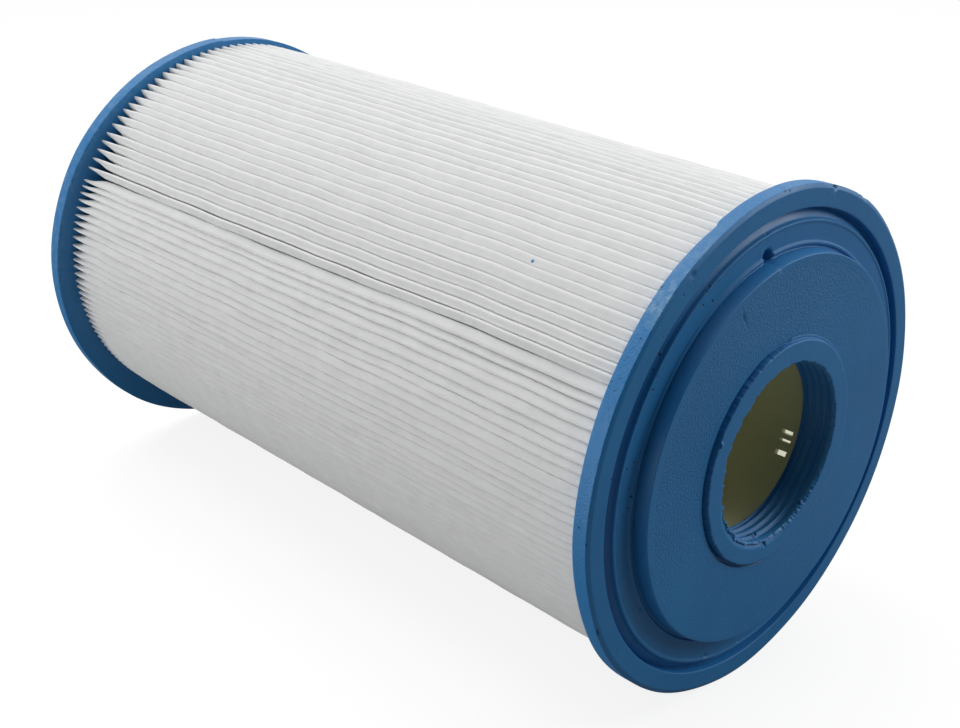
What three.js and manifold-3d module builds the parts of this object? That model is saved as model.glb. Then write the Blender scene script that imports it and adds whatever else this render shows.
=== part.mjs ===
// Pleated filter cartridge for a pool or spa, with a threaded socket at one end.
// It lies along Y: the threaded end faces -Y, +Z is up, and the origin is the centre of its box.
// Millimetres. "Depth" is measured along the axis from the threaded cap's flange face, inwards.
import * as THREE from "three";
import { mergeVertices } from "three/addons/utils/BufferGeometryUtils.js";
import Module from "manifold-3d";

const wasm = await Module();
wasm.setup();

// ---------- driving dimensions ----------

const CAP_RADIUS = 76;
const FLANGE_TO_FLANGE = 258.6; // outer face of one flange to outer face of the other
const ROUND_SEGMENTS = 48; // facets of every round piece
const EDGE = 0.6; // chamfer on the caps' outer edges
const POTTING_GAP = 0.3; // clearance where a real cartridge is bonded in cast urethane

// Both caps: flange, groove, second ring and boss.
const FLANGE_FACE_INNER_RADIUS = 69.5;
const GROOVE_INNER_RADIUS = 65.6;
const BOSS_RADIUS = 58;
const BOSS_DRAFT = 0.4; // how much wider the boss is at its foot

// Threaded cap.
const THREADED_FLANGE_THICKNESS = 5.3;
const THREADED_GROOVE_DEPTH = 3;
const THREADED_BOSS_HEIGHT = 4.5;
const HUB_RADIUS = 33.5;
const HUB_HEIGHT = 5.7; // above the flange face, so it stands 1.2 above the boss
const THREAD_CREST_RADIUS = 26.7;
const THREAD_ROOT_RADIUS = 27.8;
const THREAD_PITCH = 2.55;
const THREAD_TURNS = 4;
const MOUTH_RADIUS = 27.6; // the socket's lead-in at the hub face

// Closed cap.
const CLOSED_FLANGE_THICKNESS = 3.7;
const CLOSED_GROOVE_DEPTH = 1.4;
const CLOSED_BOSS_HEIGHT = 2;

// Core tube, potted in a channel of each cap.
const CORE_BORE_RADIUS = 29.2;
const CORE_OUTER_RADIUS = 31.3;
const THREADED_CHANNEL_DEPTH = 3;
const CLOSED_CHANNEL_DEPTH = 2.5;
const CORE_COLLAR = 26; // unslotted length at each end
const SLOT_ROWS = 9;
const SLOTS_AROUND = 8;
const SLOT_LENGTH = 15;
const SLOT_WIDTH = 7;
const BLEED_SLOT_LENGTH = 3.8; // three narrow slots in the collar at the threaded end
const BLEED_SLOT_DEPTH = 10; // of their middles
const BLEED_SLOTS = [
  { degrees: 238.4, width: 1.5 },
  { degrees: 246.1, width: 0.8 },
  { degrees: 251.2, width: 1.3 },
];

// Pleated media: one strip folded into pleats, its two ends standing together as a shorter fin.
const PLEAT_COUNT = 160; // 159 pleats and the seam fin
const PLEAT_TIP_RADIUS = 71.5;
const PLEAT_ROOT_RADIUS = 31.8;
const MEDIA_THICKNESS = 0.6;
const SEAM_DEGREES = 58.5;
const SEAM_FIN_RADIUS = 66;
const SEAM_FIN_HALF_GAP = 0.06;
const SEAM_BEAD_WIDTH = 1.6;
const SEAM_BEAD_HEIGHT = 2.6;

// ---------- worked out from them ----------

const OVERALL_LENGTH = HUB_HEIGHT + FLANGE_TO_FLANGE + CLOSED_BOSS_HEIGHT;
const FLANGE_FACE_Y = HUB_HEIGHT - OVERALL_LENGTH / 2;
const CLOSED_INNER_DEPTH = FLANGE_TO_FLANGE - CLOSED_FLANGE_THICKNESS;
const CHANNEL_INNER_RADIUS = CORE_BORE_RADIUS - POTTING_GAP;
const CHANNEL_OUTER_RADIUS = CORE_OUTER_RADIUS + POTTING_GAP;
const CORE_START = THREADED_FLANGE_THICKNESS - THREADED_CHANNEL_DEPTH + POTTING_GAP;
const CORE_END = CLOSED_INNER_DEPTH + CLOSED_CHANNEL_DEPTH - POTTING_GAP;
const MEDIA_START = THREADED_FLANGE_THICKNESS + POTTING_GAP;
const MEDIA_END = CLOSED_INNER_DEPTH - POTTING_GAP;

// ---------- helpers ----------

// A point of a lathe profile: a radius, and a depth from the threaded flange face.
const at = (radius, depth) => new THREE.Vector2(radius, depth + FLANGE_FACE_Y);

// A round piece. The half-facet turn puts flat facets at the bottom, so that a piece can lie still.
function turned(profile) {
  const closed = [...profile, profile[0].clone()];
  const geometry = new THREE.LatheGeometry(closed, ROUND_SEGMENTS);
  return geometry.rotateY(Math.PI / ROUND_SEGMENTS);
}

// Angles about the axis are measured from straight up, towards -X.
function aroundAxis(radius, degrees) {
  const angle = THREE.MathUtils.degToRad(degrees);
  return new THREE.Vector2(-radius * Math.sin(angle), radius * Math.cos(angle));
}

function toSolid(geometry) {
  const bare = geometry.clone();
  bare.deleteAttribute("normal");
  bare.deleteAttribute("uv");
  const merged = mergeVertices(bare, 1e-3);
  return new wasm.Manifold(
    new wasm.Mesh({
      numProp: 3,
      vertProperties: merged.attributes.position.array,
      triVerts: new Uint32Array(merged.index.array),
    }),
  );
}

function toGeometry(solid) {
  const mesh = solid.getMesh();
  const geometry = new THREE.BufferGeometry();
  geometry.setAttribute("position", new THREE.BufferAttribute(mesh.vertProperties, 3));
  geometry.setIndex(new THREE.BufferAttribute(mesh.triVerts, 1));
  geometry.computeVertexNormals();
  return geometry;
}

// ---------- threaded end cap ----------

// The socket's wall, from its mouth to the cap's inner face: a lead-in, then coarse thread ridges.
function threadProfile() {
  const points = [at(MOUTH_RADIUS, -HUB_HEIGHT)];
  const firstCrest = THREADED_FLANGE_THICKNESS - THREAD_TURNS * THREAD_PITCH;
  for (let turn = 0; turn < THREAD_TURNS; turn++) {
    const crest = firstCrest + turn * THREAD_PITCH;
    points.push(at(THREAD_CREST_RADIUS, crest));
    points.push(at(THREAD_ROOT_RADIUS, crest + THREAD_PITCH / 2));
  }
  points.push(at(THREAD_CREST_RADIUS, THREADED_FLANGE_THICKNESS));
  return points;
}

function threadedEndCap() {
  const inner = THREADED_FLANGE_THICKNESS;
  const channelFloor = inner - THREADED_CHANNEL_DEPTH;
  const profile = [
    // rim and flange face
    at(CAP_RADIUS - EDGE, inner),
    at(CAP_RADIUS, inner - EDGE),
    at(CAP_RADIUS, EDGE),
    at(CAP_RADIUS - EDGE, 0),
    at(FLANGE_FACE_INNER_RADIUS, 0),
    // groove and second ring
    at(FLANGE_FACE_INNER_RADIUS, THREADED_GROOVE_DEPTH),
    at(GROOVE_INNER_RADIUS, THREADED_GROOVE_DEPTH),
    at(GROOVE_INNER_RADIUS, 0),
    // boss
    at(BOSS_RADIUS + BOSS_DRAFT, 0),
    at(BOSS_RADIUS, EDGE - THREADED_BOSS_HEIGHT),
    at(BOSS_RADIUS - EDGE, -THREADED_BOSS_HEIGHT),
    // hub
    at(HUB_RADIUS, -THREADED_BOSS_HEIGHT),
    at(HUB_RADIUS, -HUB_HEIGHT),
    ...threadProfile(),
    // inner face, with the channel for the core tube
    at(CHANNEL_INNER_RADIUS, inner),
    at(CHANNEL_INNER_RADIUS, channelFloor),
    at(CHANNEL_OUTER_RADIUS, channelFloor),
    at(CHANNEL_OUTER_RADIUS, inner),
  ];
  return turned(profile.reverse());
}

// ---------- closed end cap ----------

function closedEndCap() {
  const inner = CLOSED_INNER_DEPTH;
  const outer = FLANGE_TO_FLANGE;
  const channelFloor = inner + CLOSED_CHANNEL_DEPTH;
  const profile = [
    // inner face, with the channel for the core tube
    at(0, inner),
    at(CHANNEL_INNER_RADIUS, inner),
    at(CHANNEL_INNER_RADIUS, channelFloor),
    at(CHANNEL_OUTER_RADIUS, channelFloor),
    at(CHANNEL_OUTER_RADIUS, inner),
    // rim and flange face
    at(CAP_RADIUS - EDGE, inner),
    at(CAP_RADIUS, inner + EDGE),
    at(CAP_RADIUS, outer - EDGE),
    at(CAP_RADIUS - EDGE, outer),
    at(FLANGE_FACE_INNER_RADIUS, outer),
    // groove and second ring
    at(FLANGE_FACE_INNER_RADIUS, outer - CLOSED_GROOVE_DEPTH),
    at(GROOVE_INNER_RADIUS, outer - CLOSED_GROOVE_DEPTH),
    at(GROOVE_INNER_RADIUS, outer),
    // boss, which closes the end
    at(BOSS_RADIUS + BOSS_DRAFT, outer),
    at(BOSS_RADIUS, outer + CLOSED_BOSS_HEIGHT - EDGE),
    at(BOSS_RADIUS - EDGE, outer + CLOSED_BOSS_HEIGHT),
    at(0, outer + CLOSED_BOSS_HEIGHT),
  ];
  return turned(profile);
}

// ---------- core tube ----------

// A block that cuts one slot through the core's wall.
function slotCutter(degrees, depth, width, length) {
  const reach = CORE_OUTER_RADIUS - CORE_BORE_RADIUS + 4;
  const block = new THREE.BoxGeometry(width, length, reach);
  block.translate(0, 0, (CORE_BORE_RADIUS + CORE_OUTER_RADIUS) / 2);
  block.rotateY(-THREE.MathUtils.degToRad(degrees));
  block.translate(0, FLANGE_FACE_Y + depth, 0);
  return toSolid(block);
}

function centreCore() {
  const tube = turned([
    at(CORE_BORE_RADIUS, CORE_START),
    at(CORE_OUTER_RADIUS, CORE_START),
    at(CORE_OUTER_RADIUS, CORE_END),
    at(CORE_BORE_RADIUS, CORE_END),
  ]);
  let solid = toSolid(tube);
  const firstRow = CORE_START + CORE_COLLAR + SLOT_LENGTH / 2;
  const lastRow = CORE_END - CORE_COLLAR - SLOT_LENGTH / 2;
  const rowPitch = (lastRow - firstRow) / (SLOT_ROWS - 1);
  for (let row = 0; row < SLOT_ROWS; row++) {
    for (let i = 0; i < SLOTS_AROUND; i++) {
      const degrees = (i * 360) / SLOTS_AROUND;
      const depth = firstRow + row * rowPitch;
      solid = solid.subtract(slotCutter(degrees, depth, SLOT_WIDTH, SLOT_LENGTH));
    }
  }
  for (const { degrees, width } of BLEED_SLOTS) {
    solid = solid.subtract(slotCutter(degrees, BLEED_SLOT_DEPTH, width, BLEED_SLOT_LENGTH));
  }
  return toGeometry(solid);
}

// ---------- pleated media ----------

// A point beside a pleat's centre line: its radius along that line, and an offset to one side.
function besidePleat(pleat, radius, offset) {
  const degrees = SEAM_DEGREES + (pleat * 360) / PLEAT_COUNT;
  const sideways = THREE.MathUtils.radToDeg(Math.atan2(offset, radius));
  return aroundAxis(Math.hypot(radius, offset), degrees + sideways);
}

// The strip's cross-section. Its outside runs once round, and its inside runs back.
function mediaShape() {
  const valleyRadius = PLEAT_ROOT_RADIUS + MEDIA_THICKNESS;
  const innerTipRadius = PLEAT_TIP_RADIUS - MEDIA_THICKNESS;
  const rootHalfPitch = PLEAT_ROOT_RADIUS * Math.sin(Math.PI / PLEAT_COUNT);
  const rootHalfWidth = rootHalfPitch - SEAM_FIN_HALF_GAP;
  const outside = [besidePleat(0, SEAM_FIN_RADIUS, MEDIA_THICKNESS)];
  const inside = [besidePleat(0, SEAM_FIN_RADIUS, SEAM_FIN_HALF_GAP)];
  for (let pleat = 0; pleat < PLEAT_COUNT; pleat++) {
    const valley = pleat + 0.5;
    outside.push(besidePleat(valley, valleyRadius, 0));
    inside.push(besidePleat(valley, PLEAT_ROOT_RADIUS, -rootHalfWidth));
    inside.push(besidePleat(valley, PLEAT_ROOT_RADIUS, rootHalfWidth));
    if (pleat < PLEAT_COUNT - 1) {
      outside.push(besidePleat(pleat + 1, PLEAT_TIP_RADIUS, -MEDIA_THICKNESS));
      outside.push(besidePleat(pleat + 1, PLEAT_TIP_RADIUS, MEDIA_THICKNESS));
      inside.push(besidePleat(pleat + 1, innerTipRadius, 0));
    }
  }
  outside.push(besidePleat(0, SEAM_FIN_RADIUS, -MEDIA_THICKNESS));
  inside.push(besidePleat(0, SEAM_FIN_RADIUS, -SEAM_FIN_HALF_GAP));
  return new THREE.Shape([...outside, ...inside.reverse()]);
}

// Extrudes a cross-section, drawn looking along the axis, over the media's length.
function alongMedia(shape) {
  const length = MEDIA_END - MEDIA_START;
  const geometry = new THREE.ExtrudeGeometry(shape, { depth: length, bevelEnabled: false });
  geometry.rotateX(Math.PI / 2);
  geometry.translate(0, FLANGE_FACE_Y + MEDIA_END, 0);
  return geometry;
}

function seamBeadShape() {
  const foot = SEAM_FIN_RADIUS + POTTING_GAP;
  const half = SEAM_BEAD_WIDTH / 2;
  return new THREE.Shape([
    besidePleat(0, foot, -half),
    besidePleat(0, foot + SEAM_BEAD_HEIGHT, -half),
    besidePleat(0, foot + SEAM_BEAD_HEIGHT, half),
    besidePleat(0, foot, half),
  ]);
}

// ---------- assembly ----------

const urethane = { color: 0x2f6da5, roughness: 0.48, metalness: 0 };
const polyester = { color: 0xe8eaeb, roughness: 0.95, metalness: 0 };
const corePlastic = { color: 0x77753f, roughness: 0.45, metalness: 0 };
const hotMelt = { color: 0xe4dfcf, roughness: 0.35, metalness: 0 };

const cartridge = new THREE.Group();

function addPiece(name, geometry, finish) {
  const mesh = new THREE.Mesh(geometry, new THREE.MeshStandardMaterial(finish));
  mesh.name = name;
  cartridge.add(mesh);
}

addPiece("threaded_end_cap", threadedEndCap(), urethane);
addPiece("closed_end_cap", closedEndCap(), urethane);
addPiece("centre_core", centreCore(), corePlastic);
addPiece("pleated_media", alongMedia(mediaShape()), polyester);
addPiece("media_seam_bead", alongMedia(seamBeadShape()), hotMelt);

export default cartridge;
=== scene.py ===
"""The looks of a pleated filter cartridge: cast blue caps, folded white media, an olive slotted core.

Lengths are in millimetres until a mesh is made, and the frame is in metres. The cartridge lies along Y
with its threaded end at -Y. "Depth" runs along the axis from the threaded cap's flange face, inwards.
Angles about the axis are measured from straight up, towards -X.
"""

import math

import bpy
import numpy as np
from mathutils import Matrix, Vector


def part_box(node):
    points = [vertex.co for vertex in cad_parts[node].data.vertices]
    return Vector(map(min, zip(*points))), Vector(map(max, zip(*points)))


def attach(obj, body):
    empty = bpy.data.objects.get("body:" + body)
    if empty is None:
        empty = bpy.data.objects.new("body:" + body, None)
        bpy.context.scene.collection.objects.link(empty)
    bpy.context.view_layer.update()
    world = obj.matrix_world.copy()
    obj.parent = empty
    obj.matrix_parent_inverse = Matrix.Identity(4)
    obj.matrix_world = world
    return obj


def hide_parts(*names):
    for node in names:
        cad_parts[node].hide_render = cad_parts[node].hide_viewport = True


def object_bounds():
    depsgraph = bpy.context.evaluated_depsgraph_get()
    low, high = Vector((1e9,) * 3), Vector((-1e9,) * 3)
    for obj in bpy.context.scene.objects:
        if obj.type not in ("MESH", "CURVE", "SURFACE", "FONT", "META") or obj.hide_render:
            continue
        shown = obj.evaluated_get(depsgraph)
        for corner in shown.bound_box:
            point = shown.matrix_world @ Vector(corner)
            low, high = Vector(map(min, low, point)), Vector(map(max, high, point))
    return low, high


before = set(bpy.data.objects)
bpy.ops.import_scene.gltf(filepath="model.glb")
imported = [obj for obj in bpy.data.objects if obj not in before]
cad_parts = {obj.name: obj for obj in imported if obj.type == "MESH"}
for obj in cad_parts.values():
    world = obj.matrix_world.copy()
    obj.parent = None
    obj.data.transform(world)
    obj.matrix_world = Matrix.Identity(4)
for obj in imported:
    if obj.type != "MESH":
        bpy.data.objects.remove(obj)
cad_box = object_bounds()

MM = 0.001
BODY = "root"


def box_mm(node):
    low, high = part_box(node)
    return np.array(low) / MM, np.array(high) / MM


# ---------- sizes, from the frame where it states them ----------

THREADED_LOW, THREADED_HIGH = box_mm("threaded_end_cap")
CLOSED_LOW, CLOSED_HIGH = box_mm("closed_end_cap")
CORE_LOW, CORE_HIGH = box_mm("centre_core")

HUB_HEIGHT = 5.7
FLANGE_FACE_Y = THREADED_LOW[1] + HUB_HEIGHT
THREADED_INNER = THREADED_HIGH[1] - FLANGE_FACE_Y
CLOSED_INNER = CLOSED_LOW[1] - FLANGE_FACE_Y
CLOSED_OUTER = CLOSED_HIGH[1] - FLANGE_FACE_Y
CLOSED_BOSS_HEIGHT = 2.0
CLOSED_FLANGE = CLOSED_OUTER - CLOSED_BOSS_HEIGHT

CAP_RADIUS = 76.0
FLANGE_FACE_INNER_RADIUS = 69.5
GROOVE_INNER_RADIUS = 65.6
GROOVE_DEPTH = 3.0
CLOSED_GROOVE_DEPTH = 1.4
BOSS_RADIUS = 58.0
BOSS_HEIGHT = 4.5
HUB_RADIUS = 33.5
MOUTH_RADIUS = 27.4
THREAD_CREST_RADIUS = 26.8
THREAD_DEPTH = 1.1
THREAD_PITCH = 2.55
CORE_BORE_RADIUS = 29.2
CORE_OUTER_RADIUS = CORE_HIGH[0]

PLEAT_COUNT = 160
SPLIT_ANGLE = 58.4
TIP_RADIUS = 71.3
ROOT_RADIUS = 31.9

# The pack is potted off centre in the closed cap, towards an angle. That cap leans by so much for each mm of
# X and of Z. Its inner face stands CLOSED_EXTRA farther in than the CAD's on the axis, and
# CLOSED_EXTRA_SLOPE farther still for each mm of height, so it ends up slightly farther out at the bottom.
PACK_OFFSET = 3.4
PACK_OFFSET_ANGLE = -22.0
CLOSED_LEAN = (-0.025, -0.023)
CLOSED_EXTRA = 0.8
CLOSED_EXTRA_SLOPE = 0.016

# A crumb of cast urethane on a pleat. It is a spot of colour in the media's material.
CRUMB_DEPTH = 49.0
CRUMB_ANGLE = 39.3
CRUMB_RADIUS = 0.5


# ---------- small tools ----------


def wave_sum(rng, lengths, amplitude):
    """A smooth random function of one variable: a few sines with random phases and strengths."""
    parts = []
    for length in lengths:
        parts.append((2 * math.pi / length, rng.uniform(0, 2 * math.pi), rng.uniform(0.5, 1.0)))
    total = math.sqrt(sum(strength**2 for _, _, strength in parts) / 2)

    def value(x):
        return amplitude / total * sum(s * np.sin(k * x + p) for k, p, s in parts)

    return value


def wave_field(rng, lengths, amplitude, drift):
    """Like wave_sum, of depth and angle: the phase drifts by up to drift radians for each degree."""
    parts = []
    for length in lengths:
        parts.append((2 * math.pi / length, rng.uniform(0, 2 * math.pi), rng.uniform(-drift, drift)))
    share = amplitude / math.sqrt(len(parts) / 2)

    def value(depth, degrees):
        return share * sum(np.sin(k * depth + p + q * degrees) for k, p, q in parts)

    return value


def smoothstep(x):
    t = np.clip(x, 0.0, 1.0)
    return t * t * (3 - 2 * t)


def angle_gap(a, b):
    """The signed difference a - b of two angles in degrees, from -180 to 180."""
    return (np.asarray(a) - b + 180.0) % 360.0 - 180.0


def axis_points(radius, depth, degrees):
    """Points in the frame, in mm."""
    angle = np.radians(degrees)
    x = -radius * np.sin(angle)
    z = radius * np.cos(angle)
    y = np.broadcast_to(np.asarray(depth, float) + FLANGE_FACE_Y, x.shape)
    return np.stack([x, y, z], axis=-1)


def lean(points, share):
    """Points moved along the axis the way the closed cap leans: its lower -X side stands farther out."""
    outward = share * (points[..., 0] * CLOSED_LEAN[0] + points[..., 2] * CLOSED_LEAN[1])
    moved = points.copy()
    moved[..., 1] += outward
    return moved


def closed_face(height):
    """The depth of the closed cap's inner face at a height above the axis."""
    return CLOSED_INNER - CLOSED_EXTRA - CLOSED_EXTRA_SLOPE * height


def grid_faces(rows, columns, close_rows):
    """Quads of a grid whose columns wrap round, and whose rows wrap round if close_rows is true."""
    row = np.arange(rows if close_rows else rows - 1)
    column = np.arange(columns)
    r, c = np.meshgrid(row, column, indexing="ij")
    r2 = (r + 1) % rows
    c2 = (c + 1) % columns
    quads = np.stack([r * columns + c, r * columns + c2, r2 * columns + c2, r2 * columns + c], axis=-1)
    return quads.reshape(-1, 4)


def make_piece(name, points_mm, faces, material, node):
    """A smooth-shaded mesh that stands for a CAD node and rides on the body."""
    mesh = bpy.data.meshes.new(name)
    mesh.from_pydata((np.asarray(points_mm) * MM).tolist(), [], [list(f) for f in faces])
    mesh.validate()
    mesh.shade_smooth()
    mesh.materials.append(material)
    piece = bpy.data.objects.new(name, mesh)
    bpy.context.scene.collection.objects.link(piece)
    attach(piece, BODY)
    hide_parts(node)
    return piece


def paint(piece, name, weights):
    """One number at each vertex, for the material to read."""
    layer = piece.data.attributes.new(name, "FLOAT", "POINT")
    layer.data.foreach_set("value", np.asarray(weights, np.float32))


def rounded_outline(corners, step, closed):
    """A profile with rounded corners (radius, depth, fillet), and its points at most a step apart."""
    points = [np.array(c[:2], float) for c in corners]
    count = len(points)
    outline = []
    for i, corner in enumerate(corners):
        here = points[i]
        if not closed and i in (0, count - 1):
            outline.append(here)
            continue
        before = points[i - 1] - here
        after = points[(i + 1) % count] - here
        reach = min(corner[2], 0.45 * np.linalg.norm(before), 0.45 * np.linalg.norm(after))
        if reach < 0.02:
            outline.append(here)
            continue
        start = here + before / np.linalg.norm(before) * reach
        end = here + after / np.linalg.norm(after) * reach
        for t in np.linspace(0, 1, 5):
            outline.append((1 - t) ** 2 * start + 2 * t * (1 - t) * here + t * t * end)
    filled = []
    spans = len(outline) if closed else len(outline) - 1
    for i in range(spans):
        a, b = outline[i], outline[(i + 1) % len(outline)]
        pieces = max(1, math.ceil(np.linalg.norm(b - a) / step(0.5 * (a + b))))
        for k in range(pieces):
            filled.append(a + (b - a) * k / pieces)
    if not closed:
        filled.append(outline[-1])
    return np.array(filled)


# ---------- materials ----------


class Shader:
    """A node material that is built step by step, in Object coordinates."""

    def __init__(self, name):
        self.material = bpy.data.materials.new(name)
        self.material.use_nodes = True
        self.tree = self.material.node_tree
        self.tree.nodes.clear()
        output = self.tree.nodes.new("ShaderNodeOutputMaterial")
        self.bsdf = self.tree.nodes.new("ShaderNodeBsdfPrincipled")
        self.tree.links.new(self.bsdf.outputs[0], output.inputs[0])
        self.place = self.tree.nodes.new("ShaderNodeTexCoord").outputs["Object"]

    def link(self, source, target):
        if isinstance(source, (int, float)):
            target.default_value = source
        elif isinstance(source, tuple):
            target.default_value = (*source, 1.0)[: len(target.default_value)]
        else:
            self.tree.links.new(source, target)

    def noise(self, scale, detail=3.0, roughness=0.55, vector=None):
        node = self.tree.nodes.new("ShaderNodeTexNoise")
        node.inputs["Scale"].default_value = scale
        node.inputs["Detail"].default_value = detail
        node.inputs["Roughness"].default_value = roughness
        self.link(vector or self.place, node.inputs["Vector"])
        return node.outputs["Fac"]

    def cells(self, scale):
        node = self.tree.nodes.new("ShaderNodeTexVoronoi")
        node.inputs["Scale"].default_value = scale
        self.link(self.place, node.inputs["Vector"])
        return node.outputs["Distance"]

    def stretch(self, x, y, z):
        node = self.tree.nodes.new("ShaderNodeMapping")
        self.link(self.place, node.inputs["Vector"])
        node.inputs["Scale"].default_value = (x, y, z)
        return node.outputs[0]

    def math(self, operation, a, b=0.0):
        node = self.tree.nodes.new("ShaderNodeMath")
        node.operation = operation
        self.link(a, node.inputs[0])
        self.link(b, node.inputs[1])
        return node.outputs[0]

    def ramp(self, value, low, high, to_low=0.0, to_high=1.0):
        node = self.tree.nodes.new("ShaderNodeMapRange")
        for source, socket in zip((value, low, high, to_low, to_high), list(node.inputs)[:5]):
            self.link(source, socket)
        return node.outputs[0]

    def mix(self, share, a, b):
        node = self.tree.nodes.new("ShaderNodeMix")
        node.data_type = "RGBA"
        self.link(share, node.inputs[0])
        self.link(a, node.inputs[6])
        self.link(b, node.inputs[7])
        return node.outputs[2]

    def attribute(self, name):
        node = self.tree.nodes.new("ShaderNodeAttribute")
        node.attribute_name = name
        return node.outputs["Fac"]

    def distance(self, x, y, z):
        """How far each point is from one given point, in metres."""
        node = self.tree.nodes.new("ShaderNodeVectorMath")
        node.operation = "DISTANCE"
        self.link(self.place, node.inputs[0])
        node.inputs[1].default_value = (x, y, z)
        return node.outputs["Value"]

    def bump(self, height, distance_mm, strength=1.0, normal=None):
        node = self.tree.nodes.new("ShaderNodeBump")
        node.inputs["Strength"].default_value = strength
        node.inputs["Distance"].default_value = distance_mm * MM
        self.link(height, node.inputs["Height"])
        if normal:
            self.link(normal, node.inputs["Normal"])
        return node.outputs[0]

    def set(self, **values):
        for name, value in values.items():
            self.link(value, self.bsdf.inputs[name.replace("_", " ")])


def srgb(red, green, blue):
    """A colour given as 8-bit sRGB, in linear light."""
    channels = []
    for value in (red, green, blue):
        v = value / 255
        channels.append(v / 12.92 if v <= 0.04045 else ((v + 0.055) / 1.055) ** 2.4)
    return tuple(channels)


def urethane_material():
    """Cast polyurethane: even blue with faint clouding, a leathery skin on the faces, and a satin sheen.

    It reads three numbers from each vertex: how leathery the surface is ("skin"), how many bubbles broke on
    it ("bubbles"), and how scuffed it is and how much painted sheen lies on it ("scuffs_and_sheen").
    """
    s = Shader("cast_urethane")
    clouds = s.noise(28, detail=3)
    colour = s.mix(s.ramp(clouds, 0.3, 0.7), srgb(28, 120, 184), srgb(34, 127, 192))

    crowd = s.ramp(s.noise(70, detail=2), 0.50, 0.60)
    holes = s.ramp(s.cells(420), 0.10, 0.20, 1.0, 0.0)
    pits = s.math("MULTIPLY", s.math("MULTIPLY", holes, crowd), s.attribute("bubbles"))
    # The pits are painted dark: painted shade in the hollows of broken bubbles, which the bump below also
    # dents.
    colour = s.mix(pits, colour, srgb(4, 40, 78))
    # Scuffs and painted sheen: the rims are painted lighter where they are rubbed and where a glossy
    # reflection falls.
    flecks = s.ramp(s.noise(500, detail=4), 0.42, 0.66)
    scuffs_and_sheen = s.math("MULTIPLY", s.math("MULTIPLY", flecks, s.attribute("scuffs_and_sheen")), 0.45)
    colour = s.mix(scuffs_and_sheen, colour, srgb(150, 186, 210))

    grain = s.math("MULTIPLY", s.noise(1500, detail=3, roughness=0.6), s.attribute("skin"))
    normal = s.bump(grain, 0.60, 0.6)
    normal = s.bump(s.noise(900, detail=2), 0.05, 0.35, normal)
    normal = s.bump(pits, -0.35, 0.8, normal)
    rough = s.ramp(s.noise(60, detail=4), 0.3, 0.7, 0.40, 0.54)
    rough = s.math("SUBTRACT", rough, s.math("MULTIPLY", s.attribute("scuffs_and_sheen"), 0.10))
    s.set(Base_Color=colour, Roughness=rough, Normal=normal, Specular_IOR_Level=0.55)
    return s.material


def polyester_material():
    """Spunbonded polyester: matt white, with fine fibres pressed flat, drawn out along the cartridge.

    It reads two numbers from each vertex: how near the crease of a fold it is, which gets a painted highlight
    ("crease_highlight"), and whether it glows, as if light came through it ("backlit").
    """
    s = Shader("spunbonded_polyester")
    fibres = s.noise(1500, detail=2, vector=s.stretch(1.0, 0.22, 1.0))
    blotches = s.noise(180, detail=4)
    colour = s.mix(s.ramp(blotches, 0.35, 0.65), srgb(232, 233, 233), srgb(237, 238, 238))
    # Painted highlight: the creases of the folds are painted near white, where the light catches them.
    colour = s.mix(s.attribute("crease_highlight"), colour, srgb(254, 254, 252))
    crumb_place = axis_points(TIP_RADIUS, CRUMB_DEPTH, np.array(CRUMB_ANGLE)) * MM
    crumb = s.ramp(s.distance(*crumb_place), (CRUMB_RADIUS - 0.1) * MM, (CRUMB_RADIUS + 0.1) * MM, 1.0, 0.0)
    colour = s.mix(crumb, colour, srgb(70, 150, 200))
    normal = s.bump(fibres, 0.22, 0.6)
    normal = s.bump(s.noise(500, detail=2), 0.10, 0.3, normal)
    s.set(Base_Color=colour, Roughness=0.92, Normal=normal, Specular_IOR_Level=0.12)
    glow = s.math("MULTIPLY", s.attribute("backlit"), 0.60)
    s.set(Emission_Color=srgb(236, 235, 222), Emission_Strength=glow)
    return s.material


def core_material():
    """Moulded core plastic: smooth olive-yellow, a little glossy, with faint flow clouds."""
    s = Shader("core_plastic")
    flow = s.noise(40, detail=3, vector=s.stretch(1.0, 0.3, 1.0))
    colour = s.mix(s.ramp(flow, 0.3, 0.7), srgb(174, 176, 136), srgb(186, 187, 148))
    normal = s.bump(s.noise(300, detail=2), 0.04, 0.3)
    s.set(Base_Color=colour, Roughness=s.ramp(flow, 0.3, 0.7, 0.34, 0.46), Normal=normal)
    return s.material


def hot_melt_material():
    """Milky hot-melt adhesive, slightly waxy."""
    s = Shader("hot_melt")
    lumps = s.noise(160, detail=3)
    colour = s.mix(s.ramp(lumps, 0.3, 0.7), srgb(226, 225, 218), srgb(238, 237, 232))
    s.set(Base_Color=colour, Roughness=0.4, Normal=s.bump(lumps, 0.4, 0.6))
    return s.material


URETHANE = urethane_material()
POLYESTER = polyester_material()
CORE_PLASTIC = core_material()
HOT_MELT = hot_melt_material()


# ---------- cast caps ----------

CAP_SEGMENTS = 720

# The moat in the boss face, round the foot of the hub.
MOAT_WIDTH = 1.5
MOAT_DEPTH = 2.2

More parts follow.
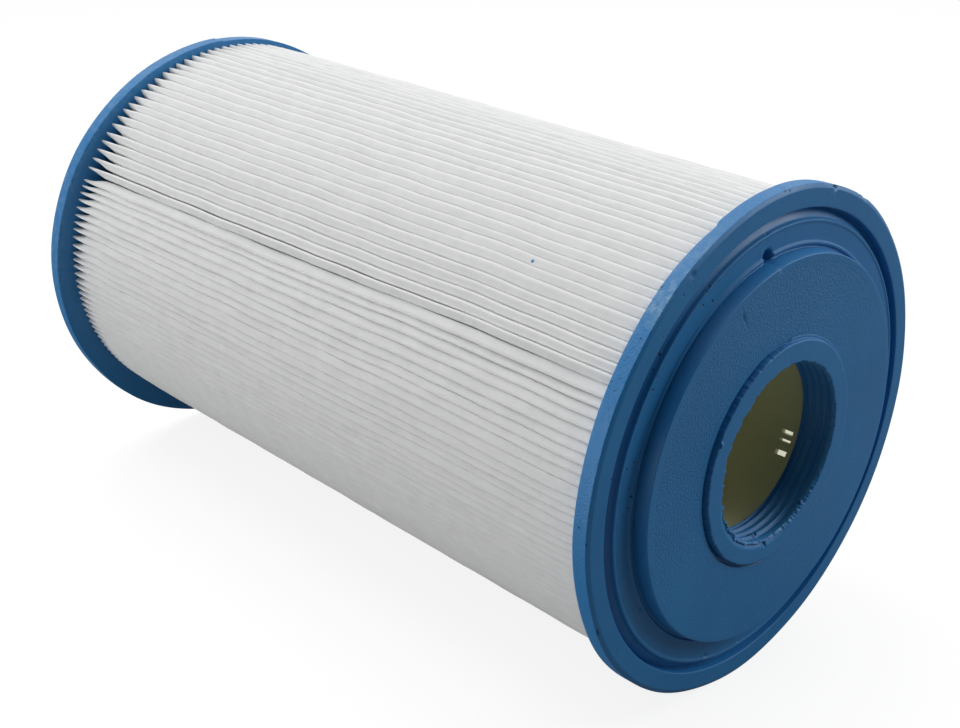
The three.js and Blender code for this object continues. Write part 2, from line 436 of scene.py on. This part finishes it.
# Casting marks on the threaded cap's face: angle, radius, half width, how deep, and how many times longer
# they are along the circle. A negative depth is a crumb that stands up.
FACE_PITS = [
    (7, 59.7, 1.6, 3.4, 1.0),
    (342, 75.2, 0.7, 0.9, 1.2),
    (328, 76.0, 0.8, 0.7, 1.8),
    (331, 75.8, 0.6, 0.6, 1.0),
    (25, 52.4, 0.5, 0.7, 1.0),
    (27, 52.0, 0.7, 0.5, 1.6),
    (172, 28.3, 0.6, 1.2, 1.0),
    (171, 33.8, 0.4, 0.7, 1.0),
    (161, 64.8, 0.6, 0.9, 1.0),
    (32, 74.6, 0.5, 0.6, 1.6),
    (112, 75.4, 0.5, 0.8, 2.2),
    (176, 64.6, 0.4, 0.6, 1.0),
    (119, 60.2, 0.4, 0.5, 1.0),
    (301, 33.6, 0.4, 0.5, 1.0),
    (65, 33.2, 0.8, -0.7, 1.0),
]

# Bubbles that broke in the socket's wall: angle and depth.
WALL_BUBBLES = [(212, -4.3), (173, -1.0)]


def plain_step(point):
    """How far apart a plain cap's profile points may stand: closer outside the boss."""
    return 2.6 if point[0] < BOSS_RADIUS - 1 else 0.9


def threaded_step(point):
    """The same for the threaded cap, and closer still in the socket and on the hub."""
    if point[0] < CORE_BORE_RADIUS:
        return 0.28
    if point[0] < HUB_RADIUS + 2:
        return 0.6
    return plain_step(point)


def threaded_cap_outline():
    inner = THREADED_INNER
    boss = -BOSS_HEIGHT
    corners = [
        (CAP_RADIUS, inner, 0.7),
        (CAP_RADIUS, 0.6, 0.12),
        (CAP_RADIUS - 1.2, 0.0, 0.15),
        (FLANGE_FACE_INNER_RADIUS, 0.0, 0.35),
        (FLANGE_FACE_INNER_RADIUS - 0.2, GROOVE_DEPTH, 0.3),
        (GROOVE_INNER_RADIUS + 0.9, 1.1, 0.4),
        (GROOVE_INNER_RADIUS + 0.5, -0.12, 0.2),
        (GROOVE_INNER_RADIUS - 0.1, -0.12, 0.2),
        (GROOVE_INNER_RADIUS - 0.5, 0.1, 0.2),
        (60.3, 0.1, 0.2),
        (60.0, -0.45, 0.2),
        (59.3, -0.45, 0.2),
        (59.0, 0.1, 0.2),
        (BOSS_RADIUS + 0.4, 0.1, 0.3),
        (BOSS_RADIUS - 0.1, boss, 0.35),
        (HUB_RADIUS + MOAT_WIDTH + 0.5, boss, 0.2),
        (HUB_RADIUS + MOAT_WIDTH, boss, 0.2),
        (HUB_RADIUS + 0.3, boss, 0.15),
        (HUB_RADIUS, -HUB_HEIGHT, 0.3),
        (MOUTH_RADIUS, -HUB_HEIGHT, 0.3),
        (THREAD_CREST_RADIUS, -HUB_HEIGHT + 0.9, 0.2),
        (THREAD_CREST_RADIUS, inner, 0.1),
        (CORE_BORE_RADIUS - 0.4, inner, 0.1),
        (CORE_BORE_RADIUS - 0.4, inner - 2.7, 0.1),
        (CORE_OUTER_RADIUS + 0.4, inner - 2.7, 0.1),
        (CORE_OUTER_RADIUS + 0.4, inner, 0.1),
    ]
    return rounded_outline(corners, threaded_step, closed=True)


def thread_cut(depth, degrees):
    """How far the screw thread cuts into the socket's wall: rounded grooves along a helix."""
    phase = (depth / THREAD_PITCH + degrees / 360.0) % 1.0
    groove = np.clip(1.25 * np.sin(math.pi * phase), 0, 1)
    start = smoothstep((depth + HUB_HEIGHT - 1.0) / 0.8)
    return THREAD_DEPTH * groove * start


def threaded_end_cap():
    rng = np.random.default_rng(11)
    outline = threaded_cap_outline()
    degrees = np.arange(CAP_SEGMENTS) * 360.0 / CAP_SEGMENTS
    radius = np.repeat(outline[:, :1], CAP_SEGMENTS, axis=1)
    depth = np.repeat(outline[:, 1:2], CAP_SEGMENTS, axis=1)
    angle = np.repeat(degrees[None, :], len(outline), axis=0)

    # screw thread
    wall = (radius < THREAD_CREST_RADIUS + 0.05) & (depth < THREADED_INNER - 0.05)
    radius = np.where(wall, radius + thread_cut(depth, angle), radius)

    # ragged flash round the mouth, worst on the -X side
    slow = wave_sum(rng, (41, 23, 13), 0.30)(degrees)
    quick = wave_sum(rng, (7.3, 4.9, 3.1, 2.3), 0.28)(degrees)
    ragged = 0.4 + 0.6 * smoothstep((75 - np.abs(angle_gap(degrees, 82))) / 30)
    lip = np.exp(-(((depth + HUB_HEIGHT - 0.35) / 0.5) ** 2)) * (outline[:, :1] < MOUTH_RADIUS + 0.6)
    radius = radius - lip * (ragged * (slow + quick))[None, :]

    # the mouth's edge is worn down to a bevel low on the -X side
    worn = smoothstep((50 - np.abs(angle_gap(degrees, 150))) / 25)
    edge = (outline[:, :1] > MOUTH_RADIUS - 0.05) & (outline[:, 1:2] < -HUB_HEIGHT + 0.3)
    near_mouth = np.clip(1 - (outline[:, :1] - MOUTH_RADIUS) / 1.3, 0, 1)
    depth = depth + 0.9 * edge * near_mouth * worn[None, :]

    # each broken bubble is a hollow with a raised ring round it
    for ring_angle, ring_depth in WALL_BUBBLES:
        round_about = np.radians(angle_gap(angle, ring_angle)) * THREAD_CREST_RADIUS
        away = np.hypot(round_about, outline[:, 1:2] - ring_depth)
        hollow = 0.5 * np.exp(-((away / 0.7) ** 4))
        ring = 0.6 * np.exp(-(((away - 1.0) / 0.3) ** 2))
        radius = radius + wall * (hollow - ring)

    # a moat round the foot of the hub on the -X side, and a rough hub wall above it
    leaning = np.clip(np.cos(np.radians(degrees - 88)), 0, 1) ** 0.6
    foot = (outline[:, :1] > HUB_RADIUS + 0.2) & (outline[:, :1] < HUB_RADIUS + MOAT_WIDTH - 0.1)
    depth = depth + foot * (np.abs(depth + BOSS_HEIGHT) < 0.3) * MOAT_DEPTH * leaning[None, :]
    hub_wall = np.exp(-(((outline[:, :1] - HUB_RADIUS) / 0.4) ** 2)) * (outline[:, 1:2] < -BOSS_HEIGHT + 0.2)
    crumbs = wave_sum(rng, (19, 7.7, 4.1, 2.3), 0.12)(degrees) * (0.25 + 0.75 * leaning)
    radius = radius + hub_wall * crumbs[None, :]

    # the back edge of the flange is broken away a little near the top
    back_edge = (outline[:, :1] > CAP_RADIUS - 0.8) & (outline[:, 1:2] > THREADED_INNER - 1.5)
    broken = smoothstep((degrees - 17.5) / 2.5) * np.exp(-np.clip(degrees - 20, 0, None) / 9)
    depth = depth - back_edge * 0.8 * broken[None, :]

    # the front faces swell a little, and the rim isn't quite round
    swell = wave_sum(rng, (170, 120, 72), 0.10)(degrees)
    depth = depth + (depth < THREADED_INNER - 0.3) * swell[None, :] * 0.5
    rim = smoothstep((outline[:, :1] - CAP_RADIUS + 1.5) / 1.0)
    radius = radius + rim * wave_sum(rng, (83, 47, 29), 0.09)(degrees)[None, :]

    # pits, crumbs and chips
    front = depth < THREADED_INNER - 0.6
    for mark_angle, mark_radius, half, deep, drawn in FACE_PITS:
        across = np.radians(angle_gap(angle, mark_angle)) * mark_radius / drawn
        away = np.hypot(across, outline[:, :1] - mark_radius) / half
        depth = depth + front * deep * np.exp(-(away**4))

    points = axis_points(radius, depth, angle)
    faces = grid_faces(len(outline), CAP_SEGMENTS, close_rows=True)
    piece = make_piece("threaded_end_cap_cast", points.reshape(-1, 3), faces[:, ::-1], URETHANE,
                       "threaded_end_cap")
    skin = (outline[:, 0] > HUB_RADIUS + 1) & (outline[:, 0] < BOSS_RADIUS - 0.7) & (outline[:, 1] < 0)
    rim_side = 0.6 * (outline[:, :1] > CAP_RADIUS - 0.4)
    upper_left = smoothstep((110 - np.abs(angle_gap(degrees, 35))) / 70)
    leathery = 0.12 + (skin[:, None] + rim_side) * (0.25 + 0.75 * upper_left[None, :])
    paint(piece, "skin", leathery.ravel())
    outside = outline[:, :1] > BOSS_RADIUS + 0.2
    bubbly = 0.25 + 0.75 * smoothstep((65 - np.abs(angle_gap(degrees, 45))) / 30)
    paint(piece, "bubbles", (outside * bubbly[None, :]).ravel())
    # The rim is painted lighter on its upper left: scuffs, and a painted sheen where a glossy reflection
    # falls; strongest round 40 degrees, weaker round 29 and faint over a broad band.
    rubbed_and_sheen = np.exp(-((angle_gap(degrees, 40) / 4.0) ** 2))
    rubbed_and_sheen = rubbed_and_sheen + 0.25 * np.exp(-((angle_gap(degrees, 29) / 8) ** 2))
    rubbed_and_sheen = rubbed_and_sheen + 0.16 * smoothstep((42 - np.abs(angle_gap(degrees, 42))) / 24)
    paint(piece, "scuffs_and_sheen", ((outline[:, :1] > CAP_RADIUS - 0.4) * rubbed_and_sheen[None, :]).ravel())
    return piece


def closed_cap_outline():
    inner, flange, outer = CLOSED_INNER, CLOSED_FLANGE, CLOSED_OUTER
    corners = [
        (0.0, inner, 0.0),
        (CORE_BORE_RADIUS - 0.4, inner, 0.1),
        (CORE_BORE_RADIUS - 0.4, inner + 2.2, 0.1),
        (CORE_OUTER_RADIUS + 0.4, inner + 2.2, 0.1),
        (CORE_OUTER_RADIUS + 0.4, inner, 0.1),
        (CAP_RADIUS, inner, 0.25),
        (CAP_RADIUS, flange, 0.3),
        (FLANGE_FACE_INNER_RADIUS, flange, 0.5),
        (FLANGE_FACE_INNER_RADIUS - 0.3, flange - CLOSED_GROOVE_DEPTH, 0.5),
        (GROOVE_INNER_RADIUS + 0.3, flange - CLOSED_GROOVE_DEPTH, 0.5),
        (GROOVE_INNER_RADIUS, flange, 0.4),
        (BOSS_RADIUS + 0.4, flange, 0.4),
        (BOSS_RADIUS - 0.1, outer, 0.7),
        (0.0, outer, 0.0),
    ]
    return rounded_outline(corners, plain_step, closed=False)


def closed_end_cap():
    rng = np.random.default_rng(12)
    outline = closed_cap_outline()[1:-1]
    degrees = np.arange(CAP_SEGMENTS) * 360.0 / CAP_SEGMENTS
    radius = np.repeat(outline[:, :1], CAP_SEGMENTS, axis=1)
    depth = np.repeat(outline[:, 1:2], CAP_SEGMENTS, axis=1)
    angle = np.repeat(degrees[None, :], len(outline), axis=0)
    rim = smoothstep((outline[:, :1] - CAP_RADIUS + 1.5) / 1.0)
    radius = radius + rim * wave_sum(rng, (83, 47, 29), 0.09)(degrees)[None, :]
    height = radius * np.cos(np.radians(angle))
    depth = np.where(depth < CLOSED_INNER + 0.3, depth + closed_face(height) - CLOSED_INNER, depth)
    points = lean(axis_points(radius, depth, angle), 1.0).reshape(-1, 3)
    faces = grid_faces(len(outline), CAP_SEGMENTS, close_rows=False).tolist()
    inner_centre, outer_centre = len(points), len(points) + 1
    centres = axis_points(np.zeros(2), np.array([CLOSED_INNER, CLOSED_OUTER]), np.zeros(2))
    top = (len(outline) - 1) * CAP_SEGMENTS
    for c in range(CAP_SEGMENTS):
        after = (c + 1) % CAP_SEGMENTS
        faces.append([inner_centre, after, c])
        faces.append([outer_centre, top + c, top + after])
    faces = [f[::-1] for f in faces]
    piece = make_piece("closed_end_cap_cast", np.vstack([points, centres]), faces, URETHANE,
                       "closed_end_cap")
    skin = (outline[:, 0] < BOSS_RADIUS - 1) & (outline[:, 1] > CLOSED_FLANGE)
    weights = np.repeat(0.15 + 0.85 * skin, CAP_SEGMENTS)
    paint(piece, "skin", np.append(weights, [0.15, 1.0]))
    outside = np.repeat(0.3 * (outline[:, 0] > BOSS_RADIUS + 0.2), CAP_SEGMENTS)
    paint(piece, "bubbles", np.append(outside, [0.0, 0.0]))
    # The closed cap's rim is painted lighter round 50 degrees: scuffs, and a painted sheen.
    rubbed_and_sheen = 0.4 * smoothstep((55 - np.abs(angle_gap(degrees, 50))) / 24)
    scuffs_and_sheen = ((outline[:, :1] > CAP_RADIUS - 0.4) * rubbed_and_sheen[None, :]).ravel()
    paint(piece, "scuffs_and_sheen", np.append(scuffs_and_sheen, [0.0, 0.0]))
    return piece


# ---------- pleated media ----------

# The folds run this far into the cast caps. The pleats narrow to thin blades within NEAR_PINCH of the
# threaded cap and FAR_PINCH of the closed cap, where they end like leaves. The slits between those leaves
# reach FAR_SLIT from the closed cap, and up to SPLIT_SLIT farther beside the split.
MEDIA_EMBED = 1.6
NEAR_PINCH = 3.5
FAR_PINCH = 8.0
FAR_SLIT = 14.0
SPLIT_SLIT = 16.0
FIRST_PLEAT_WIDTH = 1.3  # how many times wider than its neighbours the first pleat below the split is

# One pleat's outside, from the valley before its crease to the valley after its flank. Each row: across the
# pleat as a share of its width, and in mm from the crease; below the crease as a share of the flank's drop,
# in mm, and as a share of the slit between this pleat and the next.
LYING_FLAT = np.array([
    (0.00, -0.02, 1.00, 0.05, 1.0),
    (0.00, -0.01, 1.00, 0.04, 0.0),
    (0.00, 0.07, 0.50, 0.06, 0.0),
    (0.00, 0.20, 0.20, 0.04, 0.0),
    (0.14, 0.00, 0.06, 0.02, 0.0),
    (0.32, 0.00, 0.00, 0.00, 0.0),
    (0.54, 0.00, 0.30, 0.00, 0.0),
    (0.76, 0.00, 0.62, 0.00, 0.0),
    (1.00, -0.02, 1.00, 0.04, 0.0),
    (1.00, 0.00, 1.00, 0.05, 1.0),
])
ROUNDED = np.array([
    (0.00, -0.03, 1.00, 0.12, 1.0),
    (0.00, -0.02, 1.00, 0.10, 0.0),
    (0.00, 0.08, 0.55, 0.14, 0.0),
    (0.00, 0.24, 0.16, 0.08, 0.0),
    (0.12, 0.05, 0.02, 0.02, 0.0),
    (0.30, 0.00, 0.00, 0.00, 0.0),
    (0.50, 0.00, 0.22, 0.02, 0.0),
    (0.74, 0.00, 0.55, 0.05, 0.0),
    (0.98, -0.02, 0.96, 0.08, 0.0),
    (1.00, 0.00, 1.00, 0.12, 1.0),
])
PINCHED = np.array([
    (0.25, -0.66, 0.00, 30.0, 0.0),
    (0.25, -0.60, 0.00, 6.0, 0.0),
    (0.25, -0.42, 0.00, 1.0, 0.0),
    (0.25, -0.05, 0.00, 0.0, 0.0),
    (0.25, 0.30, 0.00, 0.3, 0.0),
    (0.25, 0.50, 0.00, 1.2, 0.0),
    (0.25, 0.58, 0.00, 3.5, 0.0),
    (0.25, 0.62, 0.00, 8.0, 0.0),
    (0.25, 0.64, 0.00, 16.0, 0.0),
    (0.25, 0.66, 0.00, 30.0, 0.0),
])

# How near the crease each of those rows is: the share of painted highlight that it gets.
CREASE_HIGHLIGHT = np.array([0.0, 0.0, 0.4, 1.0, 0.9, 0.15, 0.0, 0.0, 0.0, 0.0])


def crease_angles(rng):
    """The edges between pleats, from the split round to it again. The pleats are widest near the top."""
    index = np.arange(PLEAT_COUNT)
    turn = np.radians(SPLIT_ANGLE + (index + 0.5) * 360 / PLEAT_COUNT - 20)
    steps = 1 + 0.12 * np.cos(turn) + 0.06 * np.cos(2 * turn)
    steps *= 1 + 0.09 * rng.standard_normal(PLEAT_COUNT).clip(-1.8, 1.8)
    steps[0] *= FIRST_PLEAT_WIDTH
    edges = np.concatenate([[0], np.cumsum(steps)])
    return SPLIT_ANGLE + edges * 360 / edges[-1]


def media_stations():
    """Depths of the cross-sections, closer together near the caps."""
    start = THREADED_INNER - MEDIA_EMBED
    end = CLOSED_INNER + MEDIA_EMBED
    near = start + np.array([0, 1.5, 2.2, 3.2, 4.6, 6.6, 10, 15])
    far = end - np.array([0, 1.4, 2.0, 2.7, 3.5, 4.4, 5.4, 6.9, 8.8, 11.2, 14, 17.5, 21.5, 26.5])[::-1]
    middle = np.linspace(near[-1], far[0], 40)[1:-1]
    return np.concatenate([near, middle, far])


def envelope_radius(depth):
    """The radius of the creases, drawn in a little where they enter the caps."""
    near = np.exp(-np.clip(depth - THREADED_INNER, 0, None) / 6.0)
    far = np.exp(-np.clip(CLOSED_INNER - depth, 0, None) / 3.5)
    return TIP_RADIUS - 0.8 * near - 0.3 * far


def pleat_section(width, drop, bend, slit, softness, pinch):
    """One pleat at every station: distances across from its crease, and depths below it."""
    def shape(rows):
        across = rows[:, 0:1] * width + rows[:, 1:2]
        down = rows[:, 2:3] ** bend * drop + rows[:, 3:4] + rows[:, 4:5] * slit
        return across, down

    flat, round_, thin = shape(LYING_FLAT), shape(ROUNDED), shape(PINCHED)
    opened = pinch**1.5
    across = (1 - pinch) * ((1 - softness) * flat[0] + softness * round_[0]) + pinch * thin[0]
    down = (1 - opened) * ((1 - softness) * flat[1] + softness * round_[1]) + opened * thin[1]
    return across, down


def pleated_media():
    """The media as a thick ring with a creased outside: its folds are shallow, and deeper at the caps."""
    rng = np.random.default_rng(5)
    edges = crease_angles(rng)
    depth = media_stations()
    radius = envelope_radius(depth)
    along = np.clip((depth - THREADED_INNER) / (CLOSED_INNER - THREADED_INNER), 0, 1)
    settled = smoothstep((depth - THREADED_INNER) / 12) * smoothstep((CLOSED_INNER - depth) / 12)
    shared = wave_field(rng, (150, 83, 41, 26), 0.09, 0.12)
    rounds, rings = [], []
    for i in range(PLEAT_COUNT):
        # The pleats lean away from the split on both sides, so each crease stands on the side away from it
        # and its flank runs back towards it.
        below = i < PLEAT_COUNT // 2
        towards = -1 if below else 1
        crease = edges[i + 1] if below else edges[i]
        gap = abs(float(angle_gap(0.5 * (edges[i] + edges[i + 1]), SPLIT_ANGLE)))
        beside = math.exp(-((gap / 9.0) ** 1.4))
        first = gap < 3.0
        own = wave_sum(rng, (190, 90, 37), 0.055)(depth)
        wander = (shared(depth, crease) + own) * settled
        wander = wander + PACK_OFFSET * along * math.exp(-gap / 10.0)
        wander = wander - 0.8 * np.exp(-(((depth - 62) / 34) ** 2)) * math.exp(-gap / 25.0)
        lift = wave_sum(rng, (130, 60, 24), 0.09)(depth) + rng.normal(0, 0.07)
        width = np.radians(edges[i + 1] - edges[i]) * radius - (0.02 + 0.03 * beside)
        drop = 0.46 + 0.85 * beside if below else 0.56 + 1.0 * beside
        drop = drop * (1 + 0.18 * rng.standard_normal())
        drop = np.clip(drop + wave_sum(rng, (70, 31), 0.06)(depth), 0.25, None)
        slit = 0.03 + 0.15 * beside
        if first:
            opening = np.exp(-(((depth - 68) / 38) ** 2))
            width = width - 0.06 * opening
            slit = 0.3 + 1.5 * smoothstep((depth - 22) / 28)
        reach = (FAR_SLIT + SPLIT_SLIT * beside) * rng.uniform(0.8, 1.2)
        far_face = closed_face(TIP_RADIUS * math.cos(math.radians(crease)))
        to_far = np.clip((far_face - depth) / FAR_PINCH, 0, 1)
        slit_end = np.clip((far_face - depth) / reach, 0, 1)
        far_pinch = 0.62 * (1 - to_far) ** 2.4 + 0.38 * (1 - slit_end) ** 1.2
        to_near = np.clip((depth - THREADED_INNER) / NEAR_PINCH, 0, 1)
        pinch = 1 - (1 - far_pinch) * (1 - (1 - to_near) ** 1.6)
        softness = np.clip(1.15 * beside + np.exp(-(CLOSED_INNER - depth) / 16), 0, 1)
        across, down = pleat_section(width, drop, 0.55 if below else 1.0, slit, softness, pinch)
        degrees = crease + np.degrees((wander + towards * across) / radius)
        ring = np.maximum(radius + lift * settled - down, ROOT_RADIUS + 1.2)
        rounds.append(degrees[::towards])
        rings.append(ring[::towards])
    degrees = np.concatenate(rounds).T
    ring = np.concatenate(rings).T
    columns = degrees.shape[1]
    outer = axis_points(ring, np.repeat(depth[:, None], columns, axis=1), degrees)
    share = (PACK_OFFSET * along[:, None] * (ring - ROOT_RADIUS) / (TIP_RADIUS - ROOT_RADIUS))[..., None]
    direction = axis_points(1.0, -FLANGE_FACE_Y, np.array(PACK_OFFSET_ANGLE))
    outer = lean(outer + share * direction, smoothstep((along[:, None] - 0.8) / 0.2))
    inner = axis_points(np.full((2, columns), ROOT_RADIUS), depth[[-1, 0]][:, None], degrees[[-1, 0]])
    grid = np.concatenate([outer, inner], axis=0)
    faces = grid_faces(len(grid), columns, close_rows=True)
    piece = make_piece("pleated_media_folds", grid.reshape(-1, 3), faces[:, ::-1], POLYESTER,
                       "pleated_media")
    half = PLEAT_COUNT // 2
    # A painted highlight along each crease, mirrored for the pleats below the split.
    crease_highlight = np.concatenate([np.tile(CREASE_HIGHLIGHT[::-1], half), np.tile(CREASE_HIGHLIGHT, PLEAT_COUNT - half)])
    paint(piece, "crease_highlight", np.tile(crease_highlight, len(grid)))
    paint(piece, "backlit", np.repeat([0.0, 1.0], [outer.shape[0] * columns, 2 * columns]))
    return piece


# ---------- core and seam bead ----------

CORE_SEGMENTS = 240
CORE_RINGS = 60
CORE_COLLAR = 26.0
SLOT_ROWS = 9
SLOTS_ROUND = 8
SLOT_LENGTH = 15.0
SLOT_WIDTH = 7.0

# Three short slots near the socket: angle and width, and the depths that they run between.
BLEED_SLOTS = [(238.4, 1.5), (246.1, 0.8), (251.2, 1.3)]
BLEED_DEPTH = (8.1, 11.9)

BEAD_RADIUS = 64.6
BEAD_HALF_HEIGHT = 1.3
BEAD_HALF_WIDTH = 0.8
BEAD_SIDES = 16


def core_slots(start, end):
    """Every slot in the tube: its first and last angle, and its first and last depth."""
    slots = []
    half = math.degrees(SLOT_WIDTH / 2 / CORE_OUTER_RADIUS)
    inset = CORE_COLLAR + SLOT_LENGTH / 2
    for middle in np.linspace(start + inset, end - inset, SLOT_ROWS):
        for i in range(SLOTS_ROUND):
            degrees = i * 360 / SLOTS_ROUND
            slots.append((degrees - half, degrees + half, middle - SLOT_LENGTH / 2, middle + SLOT_LENGTH / 2))
    for degrees, width in BLEED_SLOTS:
        half = math.degrees(width / 2 / CORE_BORE_RADIUS)
        slots.append((degrees - half, degrees + half, *BLEED_DEPTH))
    return slots


def centre_core():
    """The slotted tube, as a grid of wall cells with the slots' cells left out."""
    start = CORE_LOW[1] - FLANGE_FACE_Y
    end = CORE_HIGH[1] - FLANGE_FACE_Y
    slots = core_slots(start, end)
    angle_lines = {round(a * 360 / CORE_SEGMENTS, 3) for a in range(CORE_SEGMENTS)}
    depth_lines = {start, end, *np.linspace(start, end, CORE_RINGS)}
    for a0, a1, d0, d1 in slots:
        near = {a for a in angle_lines if abs(angle_gap(a, a0)) < 0.5 or abs(angle_gap(a, a1)) < 0.5}
        angle_lines -= near
        angle_lines |= {round(a0 % 360, 3), round(a1 % 360, 3)}
        depth_lines |= {d0, d1}
    angles = np.array(sorted(angle_lines))
    depths = np.array(sorted(depth_lines))
    columns, rows = len(angles), len(depths)
    mid_angle = angles + ((np.roll(angles, -1) - angles) % 360) / 2
    mid_depth = (depths[:-1] + depths[1:]) / 2
    solid = np.ones((rows - 1, columns), bool)
    for a0, a1, d0, d1 in slots:
        middle, half = (a0 + a1) / 2, (a1 - a0) / 2
        inside = np.abs(angle_gap(mid_angle, middle)) < half
        solid[np.ix_((mid_depth > d0) & (mid_depth < d1), inside)] = False
    grid_angle, grid_depth = np.meshgrid(angles, depths)
    layers = [axis_points(np.full(grid_angle.shape, r), grid_depth, grid_angle)
              for r in (CORE_BORE_RADIUS, CORE_OUTER_RADIUS)]
    points = np.concatenate([layer.reshape(-1, 3) for layer in layers])
    outer = rows * columns
    faces = []

    def corner(r, c, layer):
        return layer * outer + r * columns + c % columns

    def wall(r0, c0, r1, c1):
        faces.append([corner(r0, c0, 0), corner(r1, c1, 0), corner(r1, c1, 1), corner(r0, c0, 1)])

    for r in range(rows - 1):
        for c in range(columns):
            if not solid[r, c]:
                continue
            faces.append([corner(r, c, 0), corner(r, c + 1, 0), corner(r + 1, c + 1, 0), corner(r + 1, c, 0)])
            faces.append([corner(r, c, 1), corner(r + 1, c, 1), corner(r + 1, c + 1, 1), corner(r, c + 1, 1)])
            if r == 0 or not solid[r - 1, c]:
                wall(r, c + 1, r, c)
            if r == rows - 2 or not solid[r + 1, c]:
                wall(r + 1, c, r + 1, c + 1)
            if not solid[r, c - 1]:
                wall(r, c, r + 1, c)
            if not solid[r, (c + 1) % columns]:
                wall(r + 1, c + 1, r, c + 1)
    piece = make_piece("centre_core_tube", points, faces, CORE_PLASTIC, "centre_core")
    piece.data.shade_flat()
    piece.data.set_sharp_from_angle(angle=math.radians(35))
    return piece


def media_seam_bead():
    """A lumpy bead of hot melt along the seam, below the floor of the split, so the media hides it."""
    rng = np.random.default_rng(3)
    depth = np.linspace(THREADED_INNER + 3, CLOSED_INNER - 16, 160)
    around = np.linspace(0, 2 * math.pi, BEAD_SIDES, endpoint=False)
    size = 0.75 + wave_sum(rng, (60, 21, 9, 5), 0.10)(depth)
    radius = BEAD_RADIUS + BEAD_HALF_HEIGHT * size[:, None] * np.cos(around)[None, :]
    offset = BEAD_HALF_WIDTH * size[:, None] * np.sin(around)[None, :]
    degrees = SPLIT_ANGLE + np.degrees(offset / radius)
    points = axis_points(radius, np.repeat(depth[:, None], BEAD_SIDES, axis=1), degrees).reshape(-1, 3)
    faces = grid_faces(len(depth), BEAD_SIDES, close_rows=False).tolist()
    faces.append(list(range(BEAD_SIDES))[::-1])
    faces.append([(len(depth) - 1) * BEAD_SIDES + k for k in range(BEAD_SIDES)])
    return make_piece("media_seam_bead_melt", points, faces, HOT_MELT, "media_seam_bead")


threaded_end_cap()
closed_end_cap()
pleated_media()
centre_core()
media_seam_bead()


# ---------- floor, light and camera ----------


def floor():
    """A pale floor that the camera sees as nearly white, and that lights the cartridge only faintly."""
    shader = Shader("floor")
    camera_ray = shader.tree.nodes.new("ShaderNodeLightPath").outputs["Is Camera Ray"]
    glow = shader.ramp(camera_ray, 0.0, 1.0, 0.05, 0.85)
    shader.set(Base_Color=(0.22, 0.22, 0.22), Roughness=0.9, Specular_IOR_Level=0.0)
    shader.set(Emission_Color=(1.0, 1.0, 1.0), Emission_Strength=glow)
    mesh = bpy.data.meshes.new("floor")
    reach = 4.0
    level = cad_box[0].z - 0.0004
    corners = [(-reach, -reach, level), (reach, -reach, level), (reach, reach, level), (-reach, reach, level)]
    mesh.from_pydata(corners, [], [(0, 1, 2, 3)])
    mesh.materials.append(shader.material)
    plane = bpy.data.objects.new("floor", mesh)
    bpy.context.scene.collection.objects.link(plane)


def area_light(name, place, aim, size, watts):
    data = bpy.data.lights.new(name, "AREA")
    data.shape = "RECTANGLE"
    data.size, data.size_y = size
    data.energy = watts
    lamp = bpy.data.objects.new(name, data)
    lamp.location = place
    lamp.rotation_euler = (Vector(aim) - Vector(place)).to_track_quat("-Z", "Y").to_euler()
    bpy.context.scene.collection.objects.link(lamp)


def room():
    """A pale room, bright behind the cartridge and dark on the -X -Y side, with a white backdrop."""
    world = bpy.data.worlds.new("studio")
    world.use_nodes = True
    nodes, links = world.node_tree.nodes, world.node_tree.links
    place = nodes.new("ShaderNodeTexCoord").outputs["Generated"]
    facing = nodes.new("ShaderNodeVectorMath")
    facing.operation = "DOT_PRODUCT"
    links.new(place, facing.inputs[0])
    facing.inputs[1].default_value = Vector((-0.75, -0.62, 0.1)).normalized()
    level = nodes.new("ShaderNodeMapRange")
    links.new(facing.outputs["Value"], level.inputs["Value"])
    level.inputs["From Min"].default_value = -0.6
    level.inputs["From Max"].default_value = 0.5
    level.inputs["To Min"].default_value = 1.0
    level.inputs["To Max"].default_value = 0.03
    seen = nodes.new("ShaderNodeMapRange")
    links.new(nodes.new("ShaderNodeLightPath").outputs["Is Camera Ray"], seen.inputs["Value"])
    links.new(level.outputs[0], seen.inputs["To Min"])
    seen.inputs["To Max"].default_value = 0.985
    links.new(seen.outputs[0], nodes["Background"].inputs["Strength"])
    nodes["Background"].inputs["Color"].default_value = (1.0, 1.0, 1.0, 1.0)
    bpy.context.scene.world = world


def studio():
    room()
    area_light("overhead", (-0.12, 0.26, 0.94), (0, 0, 0), (0.9, 0.9), 4.85)
    area_light("right_key", (0.85, -0.75, 0.55), (0, -0.13, 0), (0.5, 0.7), 4.55)
    area_light("left_fill", (-0.90, 0.26, 0.05), (0, 0, 0), (0.7, 0.22), 3.1)
    bpy.context.scene.view_settings.view_transform = "Standard"


CAMERA_AZIMUTH = -44.84
CAMERA_ELEVATION = 25.12
CAMERA_LENS = 53.35
CAMERA_PLACE = (-307.8, -322.5, 192.6)


def camera():
    data = bpy.data.cameras.new("camera")
    data.sensor_width = 36.0
    data.lens = CAMERA_LENS
    data.clip_start = 0.01
    azimuth = math.radians(CAMERA_AZIMUTH)
    elevation = math.radians(CAMERA_ELEVATION)
    back = Vector((
        math.sin(azimuth) * math.cos(elevation),
        -math.cos(azimuth) * math.cos(elevation),
        math.sin(elevation),
    ))
    eye = bpy.data.objects.new("camera", data)
    eye.rotation_mode = "QUATERNION"
    eye.rotation_quaternion = (-back).to_track_quat("-Z", "Y")
    eye.location = Vector(CAMERA_PLACE) * MM
    bpy.context.scene.collection.objects.link(eye)
    bpy.context.scene.camera = eye


floor()
studio()
camera()
